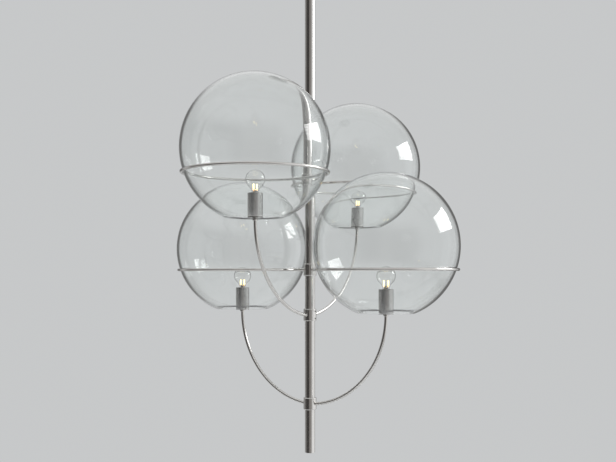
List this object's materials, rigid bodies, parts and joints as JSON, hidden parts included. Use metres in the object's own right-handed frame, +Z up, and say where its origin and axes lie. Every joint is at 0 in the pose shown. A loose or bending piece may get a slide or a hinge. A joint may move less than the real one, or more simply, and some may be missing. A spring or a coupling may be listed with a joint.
{
  "type": "pendant light",
  "caption": "Rigid-stem pendant light: clear glass globes rest in metal rings at staggered heights, each lit by a small round bulb on a curved arm from below.",
  "frame": {"origin": "on the ceiling face, midway between the bracket's two screw holes, on the stem's axis", "axes": "+Z up along the stem; -Y towards the upper front globe; +X towards the lower right globe"},
  "size_m": [0.778, 0.778, 1.204],
  "materials": {
    "polished_nickel": "polished nickel plate, mirror bright",
    "screw_steel": "dark oiled steel",
    "zinc_steel": "bright zinc plate",
    "brass": "turned brass",
    "white_moulding": "satin moulding",
    "white_ceramic": "glazed, white",
    "clear_globe_glass": "clear blown glass, polished rim",
    "clear_bulb_glass": "clear thin glass",
    "bulb_cap_metal": "rolled thin metal",
    "bulb_glow": "lit, warm white",
    "lead_sleeve": "smooth insulation"
  },
  "bodies": {
    "fixture": {"stem": "polished_nickel", "stem_end_cap": "polished_nickel", "neck_nuts": "polished_nickel", "ring_collar_upper": "polished_nickel", "ring_collar_lower": "polished_nickel", "arm_collar_upper": "polished_nickel", "arm_collar_lower": "polished_nickel", "ring_upper_front": "polished_nickel", "ring_upper_back": "polished_nickel", "ring_lower_right": "polished_nickel", "ring_lower_left": "polished_nickel", "arm_upper_front": "polished_nickel", "arm_upper_back": "polished_nickel", "arm_lower_right": "polished_nickel", "arm_lower_left": "polished_nickel", "holder_cover_upper_front": "polished_nickel", "holder_cover_upper_back": "polished_nickel", "holder_cover_lower_right": "polished_nickel", "holder_cover_lower_left": "polished_nickel", "collar_set_screws": "screw_steel", "ceiling_bracket": "zinc_steel", "hanger_nuts": "zinc_steel", "hanger_nipple": "brass", "stem_top_bush": "brass", "earth_screw": "brass", "terminal_screws": "brass", "holder_nipples": "brass", "holder_contacts": "brass", "terminal_block": "white_moulding", "lampholder_upper_front": "white_ceramic", "lampholder_upper_back": "white_ceramic", "lampholder_lower_right": "white_ceramic", "lampholder_lower_left": "white_ceramic", "lead_upper_front": "lead_sleeve", "lead_upper_back": "lead_sleeve", "lead_lower_right": "lead_sleeve", "lead_lower_left": "lead_sleeve"},
    "canopy_cup": {"canopy": "polished_nickel", "canopy_collar": "polished_nickel", "canopy_set_screw": "screw_steel"},
    "loose_globe_upper_front": {"globe_upper_front": "clear_globe_glass"},
    "screwed_bulb_upper_front": {"bulb_glass_upper_front": "clear_bulb_glass", "bulb_cap_upper_front": "bulb_cap_metal", "bulb_emitter_upper_front": "bulb_glow"},
    "loose_globe_upper_back": {"globe_upper_back": "clear_globe_glass"},
    "screwed_bulb_upper_back": {"bulb_glass_upper_back": "clear_bulb_glass", "bulb_cap_upper_back": "bulb_cap_metal", "bulb_emitter_upper_back": "bulb_glow"},
    "loose_globe_lower_right": {"globe_lower_right": "clear_globe_glass"},
    "screwed_bulb_lower_right": {"bulb_glass_lower_right": "clear_bulb_glass", "bulb_cap_lower_right": "bulb_cap_metal", "bulb_emitter_lower_right": "bulb_glow"},
    "loose_globe_lower_left": {"globe_lower_left": "clear_globe_glass"},
    "screwed_bulb_lower_left": {"bulb_glass_lower_left": "clear_bulb_glass", "bulb_cap_lower_left": "bulb_cap_metal", "bulb_emitter_lower_left": "bulb_glow"}
  },
  "joints": [
    {"name": "canopy_drop", "type": "slide", "parent": "fixture", "child": "canopy_cup", "axis": [0, 0, -1], "range_m": [0, 0.08]},
    {"name": "globe_lift_upper_front", "type": "slide", "parent": "fixture", "child": "loose_globe_upper_front", "axis": [0, 0, 1], "range_m": [0, 0.15]},
    {"name": "globe_lift_upper_back", "type": "slide", "parent": "fixture", "child": "loose_globe_upper_back", "axis": [0, 0, 1], "range_m": [0, 0.15]},
    {"name": "globe_lift_lower_right", "type": "slide", "parent": "fixture", "child": "loose_globe_lower_right", "axis": [0.309, 0, 0.9511], "range_m": [0, 0.08]},
    {"name": "globe_lift_lower_left", "type": "slide", "parent": "fixture", "child": "loose_globe_lower_left", "axis": [-0.309, 0, 0.9511], "range_m": [0, 0.08]},
    {"name": "bulb_unscrew_upper_front", "type": "slide", "parent": "fixture", "child": "screwed_bulb_upper_front", "axis": [0, 0, 1], "range_m": [0, 0.03]},
    {"name": "bulb_unscrew_upper_back", "type": "slide", "parent": "fixture", "child": "screwed_bulb_upper_back", "axis": [0, 0, 1], "range_m": [0, 0.03]},
    {"name": "bulb_unscrew_lower_right", "type": "slide", "parent": "fixture", "child": "screwed_bulb_lower_right", "axis": [0, 0, 1], "range_m": [0, 0.03]},
    {"name": "bulb_unscrew_lower_left", "type": "slide", "parent": "fixture", "child": "screwed_bulb_lower_left", "axis": [0, 0, 1], "range_m": [0, 0.03]}
  ]
}
